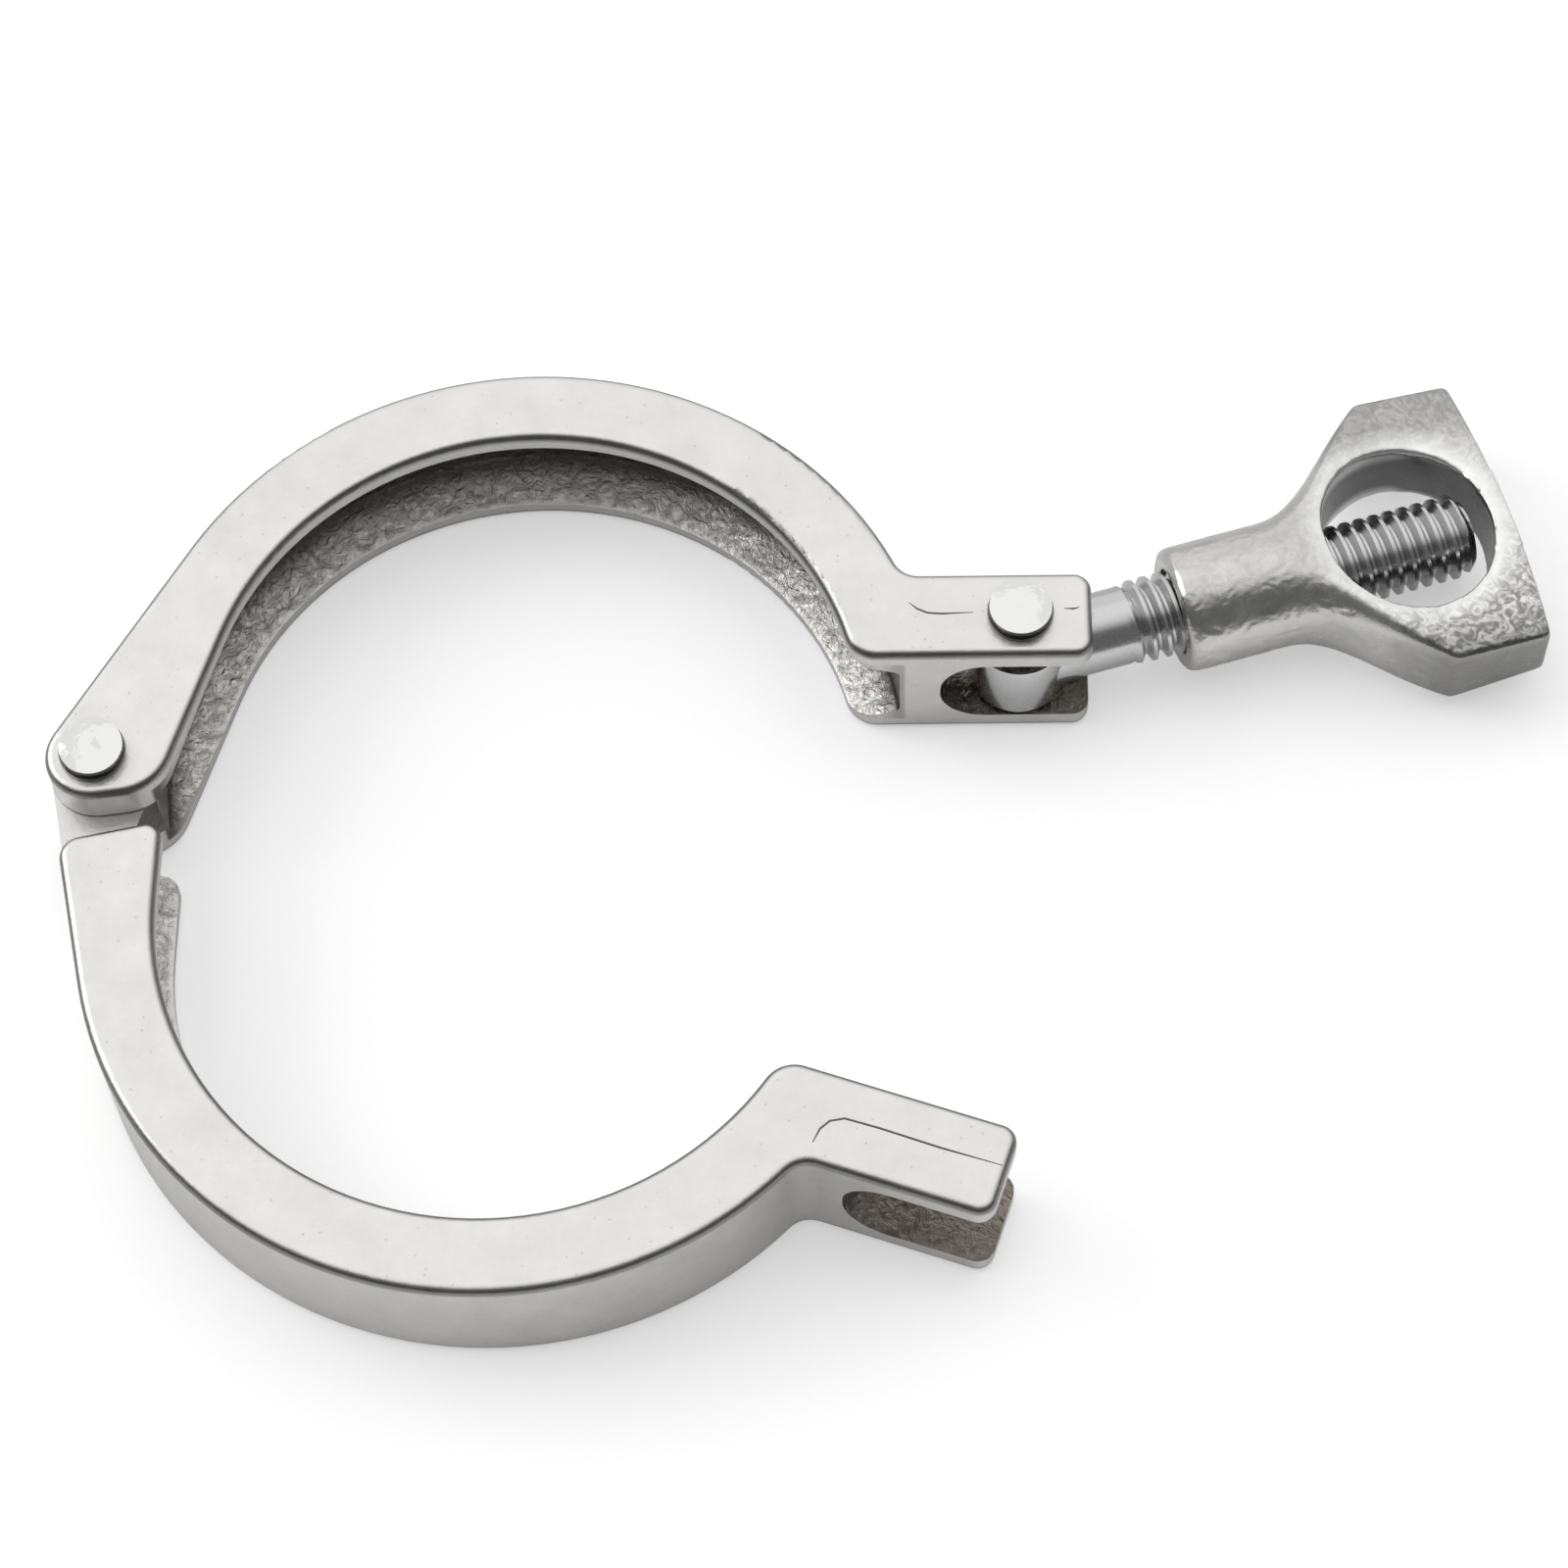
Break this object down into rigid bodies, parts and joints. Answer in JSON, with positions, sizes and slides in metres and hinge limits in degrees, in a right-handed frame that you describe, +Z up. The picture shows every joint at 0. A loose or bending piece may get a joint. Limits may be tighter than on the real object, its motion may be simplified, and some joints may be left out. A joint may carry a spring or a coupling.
{
  "type": "sanitary hinged clamp",
  "caption": "Hinged channel clamp with a swing bolt and an open-headed wing nut, for joining the flanged ends of sanitary tube.",
  "frame": {"origin": "centre of the upper arm's ferrule seat, half-way up the clamp where the two ferrules meet", "axes": "+Z up along the ferrule axis, +X from the hinge pin towards the lugs, +Y towards the outside of the upper arm"},
  "size_m": [0.1374, 0.0914, 0.0154],
  "materials": {
    "cast_steel": "satin investment casting, blasted and electropolished",
    "pin_steel": "polished",
    "bolt_steel": "polished eye and shank, rolled thread",
    "nut_steel": "bright investment casting with an orange-peel skin"
  },
  "bodies": {
    "upper_arm": {"upper_arm": "cast_steel", "hinge_pin": "pin_steel", "bolt_pin": "pin_steel"},
    "lower_arm": {"lower_arm": "cast_steel"},
    "swing_bolt": {"swing_bolt": "bolt_steel"},
    "wing_nut": {"wing_nut": "nut_steel"}
  },
  "joints": [
    {"name": "arm_hinge", "type": "hinge", "parent": "upper_arm", "child": "lower_arm", "pos_m": [-0.0393, 0, 0], "axis": [0, 0, 1], "range_deg": [-135, 27]},
    {"name": "bolt_swing", "type": "hinge", "parent": "upper_arm", "child": "swing_bolt", "pos_m": [0.0451, 0.00715, -0.0006], "axis": [0, 0, 1], "range_deg": [-60, 95]},
    {"name": "nut_turn", "type": "hinge", "parent": "swing_bolt", "child": "wing_nut", "pos_m": [0.0451, 0.00715, -0.0006], "axis": [0.9778, 0.2096, 0], "continuous": true}
  ]
}
